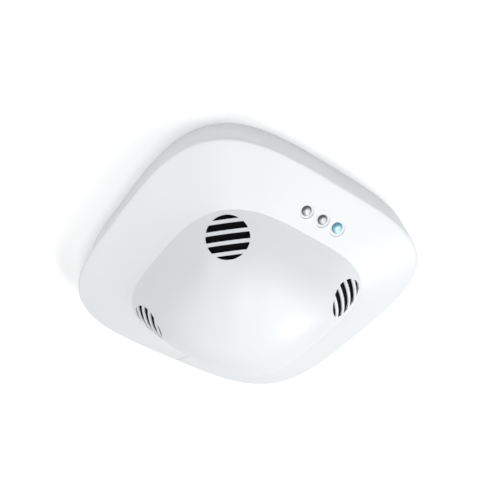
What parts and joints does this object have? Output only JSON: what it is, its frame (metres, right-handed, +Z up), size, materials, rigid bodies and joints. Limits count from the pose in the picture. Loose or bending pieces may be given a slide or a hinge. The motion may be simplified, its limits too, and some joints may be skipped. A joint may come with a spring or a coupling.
{
  "type": "smoke detector",
  "caption": "Rounded-square ceiling smoke detector with a soft dome, round slatted smoke inlets on the dome's corners, small windows in the flange and a pull-off cover.",
  "frame": {"origin": "middle of the base plate's ceiling face", "axes": "+Z up, out of the ceiling face; the detector hangs towards -Z; the row of windows is on the -Y side"},
  "size_m": [0.12, 0.12, 0.05],
  "materials": {
    "cover_white": "smooth satin moulded ABS, faintly cool white",
    "inner_plastic": "plain matt moulded ABS, warm white",
    "black_plastic": "matt black moulded plastic, light-absorbing",
    "black_rubber": "soft matt rubber",
    "grey_plastic": "matt dark grey moulded plastic",
    "screen_mesh": "fine woven insect mesh, blackened",
    "clear_lens": "polished clear polycarbonate",
    "blue_lens": "polished translucent blue polycarbonate, lit from behind",
    "steel": "nickel-plated steel",
    "circuit_board": "green solder resist over glass-epoxy",
    "brass": "bright brass sheet",
    "copper": "enamelled copper winding",
    "terminal_grey": "light grey terminal moulding",
    "release_orange": "orange moulded key",
    "cell_wrap": "blue shrink sleeve, unprinted",
    "capacitor_sleeve": "dark blue sleeve, unprinted",
    "film_box": "yellow potted box",
    "varistor_blue": "dipped blue epoxy",
    "fuse_glass": "glass tube with plated end caps",
    "led_clear": "clear epoxy lens",
    "emitter_blue": "blue-tinted epoxy lens",
    "diode_dark": "dark epoxy lens that passes infrared"
  },
  "bodies": {
    "base": {"base_plate": "inner_plastic", "cable_grommet": "black_rubber", "strain_relief_clamp": "grey_plastic", "strain_relief_screw_1": "steel", "strain_relief_screw_2": "steel", "terminal_block": "terminal_grey", "contact_socket": "black_plastic", "grip_spring_left": "steel", "grip_spring_right": "steel"},
    "module": {"rear_housing": "inner_plastic", "main_board": "circuit_board", "board_screw_1": "steel", "board_screw_2": "steel", "board_screw_3": "steel", "board_screw_4": "steel", "plug_header": "black_plastic", "chamber_base": "black_plastic", "chamber_labyrinth": "black_plastic", "chamber_screen": "screen_mesh", "chamber_lid": "black_plastic", "ir_emitter": "emitter_blue", "photodiode": "diode_dark", "photodiode_shield": "steel", "sounder_housing": "black_plastic", "sounder_disc": "brass", "sounder_coil": "copper", "backup_cell": "cell_wrap", "cell_holder": "black_plastic", "cell_contact_negative": "steel", "cell_contact_positive": "steel", "indicator_led_left": "led_clear", "indicator_led_middle": "led_clear", "test_switch": "grey_plastic", "microcontroller": "black_plastic", "supply_capacitor": "capacitor_sleeve", "film_capacitor": "film_box", "varistor": "varistor_blue", "fuse": "fuse_glass", "bridge_rectifier": "black_plastic", "supply_choke": "copper"},
    "cover": {"cover_shell": "cover_white", "inlet_screen_1": "screen_mesh", "inlet_screen_2": "screen_mesh", "inlet_screen_3": "screen_mesh", "inlet_screen_4": "screen_mesh", "light_guide_left": "clear_lens", "light_guide_middle": "clear_lens"},
    "test_button": {"test_button": "blue_lens"},
    "switch_plunger": {"test_switch_plunger": "black_plastic"},
    "release_key_1": {"terminal_release_1": "release_orange"},
    "release_key_2": {"terminal_release_2": "release_orange"},
    "release_key_3": {"terminal_release_3": "release_orange"},
    "release_key_4": {"terminal_release_4": "release_orange"}
  },
  "joints": [
    {"name": "module_pull_off", "type": "slide", "parent": "base", "child": "module", "axis": [0, 0, -1], "range_m": [0, 0.03]},
    {"name": "cover_pull_off", "type": "slide", "parent": "module", "child": "cover", "axis": [0, 0, -1], "range_m": [0, 0.055]},
    {"name": "test_button_press", "type": "slide", "parent": "cover", "child": "test_button", "axis": [0, 0, 1], "range_m": [0, 0.0005], "stiffness_N_per_m": 2000},
    {"name": "test_switch_press", "type": "slide", "parent": "module", "child": "switch_plunger", "axis": [0, 0, 1], "range_m": [0, 0.0005], "stiffness_N_per_m": 500},
    {"name": "terminal_release_press_1", "type": "slide", "parent": "base", "child": "release_key_1", "axis": [0, 0, 1], "range_m": [0, 0.0016], "stiffness_N_per_m": 3000},
    {"name": "terminal_release_press_2", "type": "slide", "parent": "base", "child": "release_key_2", "axis": [0, 0, 1], "range_m": [0, 0.0016], "stiffness_N_per_m": 3000},
    {"name": "terminal_release_press_3", "type": "slide", "parent": "base", "child": "release_key_3", "axis": [0, 0, 1], "range_m": [0, 0.0016], "stiffness_N_per_m": 3000},
    {"name": "terminal_release_press_4", "type": "slide", "parent": "base", "child": "release_key_4", "axis": [0, 0, 1], "range_m": [0, 0.0016], "stiffness_N_per_m": 3000}
  ],
  "couplings": [
    {"joint": "test_switch_press", "follows": "test_button_press", "ratio": 1}
  ]
}
